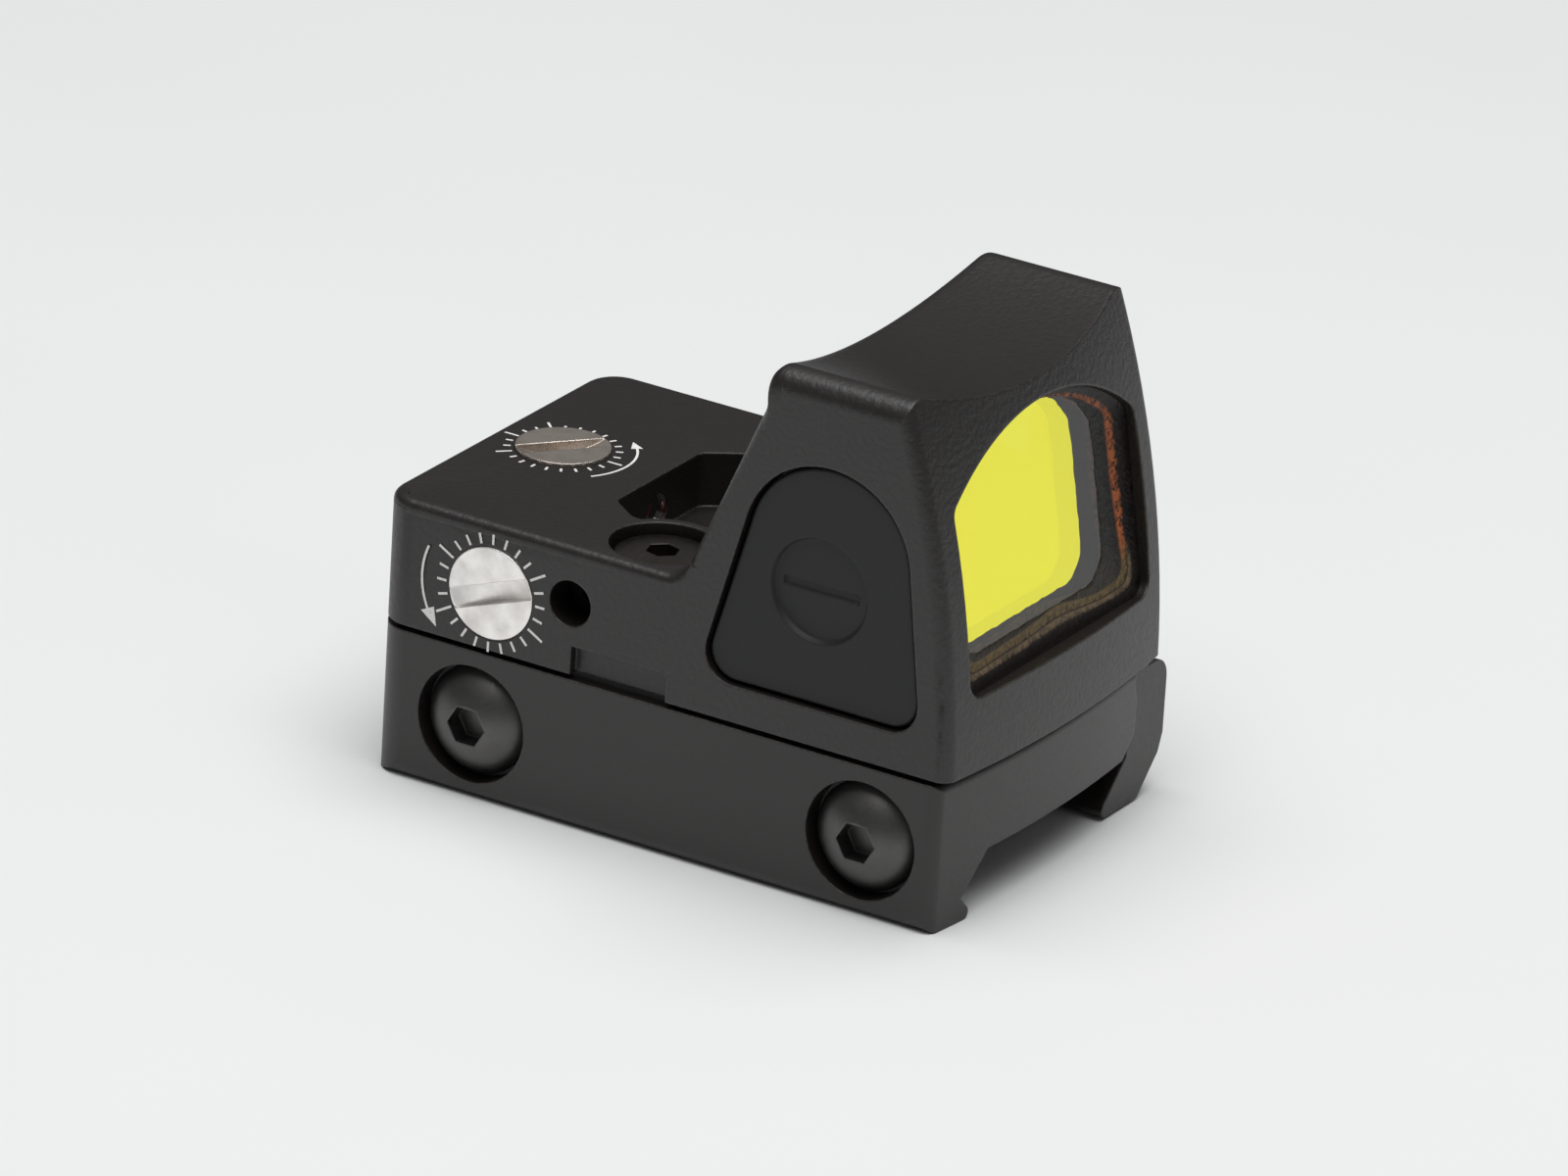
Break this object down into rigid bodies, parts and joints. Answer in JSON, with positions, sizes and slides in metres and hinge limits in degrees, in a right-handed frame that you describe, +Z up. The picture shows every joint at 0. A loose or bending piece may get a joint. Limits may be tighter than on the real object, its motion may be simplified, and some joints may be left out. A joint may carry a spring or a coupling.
{
  "type": "red dot finder",
  "caption": "Small open reflex red-dot finder: hooded tilted lens, rubber side buttons, slotted adjusters and a screw clamp mount for an accessory rail.",
  "frame": {"origin": "middle of the flat face that seats on top of the rail", "axes": "+X to the user's right (the side with the windage screw and the bolt heads), +Y forward along the rail, +Z up"},
  "size_m": [0.0312, 0.045, 0.0361],
  "materials": {
    "anodised": "satin black anodised",
    "black_steel": "black oxide",
    "screw_steel": "dull steel",
    "nickel": "nickel plated",
    "spring_steel": "bright spring steel",
    "rubber": "matte rubber",
    "seal": "dark gasket sheet",
    "coated_glass": "yellow reflective coating",
    "clear_glass": "clear",
    "adhesive": "dark amber adhesive",
    "brass": "plain",
    "block": "plain",
    "diode": "red diode",
    "board": "green board",
    "chip": "moulded",
    "flex": "amber film",
    "cell": "plain"
  },
  "bodies": {
    "sight": {"mount_base": "anodised", "seal_plate": "seal", "locating_pins": "screw_steel", "housing": "anodised", "base_gasket": "rubber", "battery": "cell", "battery_contact": "brass", "circuit_board": "board", "controller_chip": "chip", "right_switch_flex": "flex", "left_switch_flex": "flex", "right_snap_dome": "spring_steel", "left_snap_dome": "spring_steel", "elevation_spring": "spring_steel", "emitter_window": "clear_glass", "elevation_washer": "spring_steel", "windage_washer": "spring_steel", "lock_screw": "black_steel", "sight_screws": "screw_steel", "lens": "coated_glass", "lens_bead": "adhesive"},
    "elevation_screw": {"elevation_screw": "nickel", "elevation_oring": "rubber", "elevation_clip": "spring_steel"},
    "windage_screw": {"windage_screw": "nickel", "windage_oring": "rubber", "windage_clip": "spring_steel"},
    "elevation_slide": {"elevation_slide": "brass"},
    "emitter_block": {"emitter_block": "block", "emitter_diode": "diode"},
    "windage_nut": {"windage_nut": "brass"},
    "right_button": {"right_button": "rubber"},
    "left_button": {"left_button": "rubber"},
    "clamp_bar": {"clamp_bar": "anodised"},
    "front_cross_bolt": {"front_cross_bolt": "black_steel"},
    "rear_cross_bolt": {"rear_cross_bolt": "black_steel"}
  },
  "joints": [
    {"name": "right_button_press", "type": "slide", "parent": "sight", "child": "right_button", "axis": [-1, 0, 0], "range_m": [0, 0.00045], "stiffness_N_per_m": 4000},
    {"name": "left_button_press", "type": "slide", "parent": "sight", "child": "left_button", "axis": [1, 0, 0], "range_m": [0, 0.00045], "stiffness_N_per_m": 4000},
    {"name": "elevation_lift", "type": "slide", "parent": "sight", "child": "elevation_slide", "axis": [0, 0, 1], "range_m": [-0.0005, 0.0005], "deforming": ["elevation_spring"]},
    {"name": "elevation_turn", "type": "hinge", "parent": "sight", "child": "elevation_screw", "pos_m": [0, -0.0171, 0.0154], "axis": [0, 0, 1], "range_deg": [-720, 720]},
    {"name": "emitter_shift", "type": "slide", "parent": "elevation_slide", "child": "emitter_block", "axis": [1, 0, 0], "range_m": [-0.0005, 0.0005]},
    {"name": "windage_nut_slide", "type": "slide", "parent": "sight", "child": "windage_nut", "axis": [1, 0, 0], "range_m": [-0.0005, 0.0005]},
    {"name": "windage_turn", "type": "hinge", "parent": "sight", "child": "windage_screw", "pos_m": [0.014, -0.0136, 0.01055], "axis": [1, 0, 0], "range_deg": [-720, 720]},
    {"name": "clamp_slide", "type": "slide", "parent": "sight", "child": "clamp_bar", "axis": [-1, 0, 0], "range_m": [0, 0.0028]},
    {"name": "front_bolt_turn", "type": "hinge", "parent": "sight", "child": "front_cross_bolt", "pos_m": [0.0133, 0.01535, 0.0009], "axis": [1, 0, 0], "range_deg": [0, 1440]},
    {"name": "rear_bolt_turn", "type": "hinge", "parent": "sight", "child": "rear_cross_bolt", "pos_m": [0.0133, -0.01465, 0.0009], "axis": [1, 0, 0], "range_deg": [0, 1440]}
  ],
  "couplings": [
    {"joint": "elevation_turn", "follows": "elevation_lift", "rad_per_m": 25133},
    {"joint": "windage_nut_slide", "follows": "emitter_shift", "ratio": 1},
    {"joint": "windage_turn", "follows": "emitter_shift", "rad_per_m": 25133},
    {"joint": "front_bolt_turn", "follows": "clamp_slide", "rad_per_m": 8976},
    {"joint": "rear_bolt_turn", "follows": "clamp_slide", "rad_per_m": 8976}
  ]
}
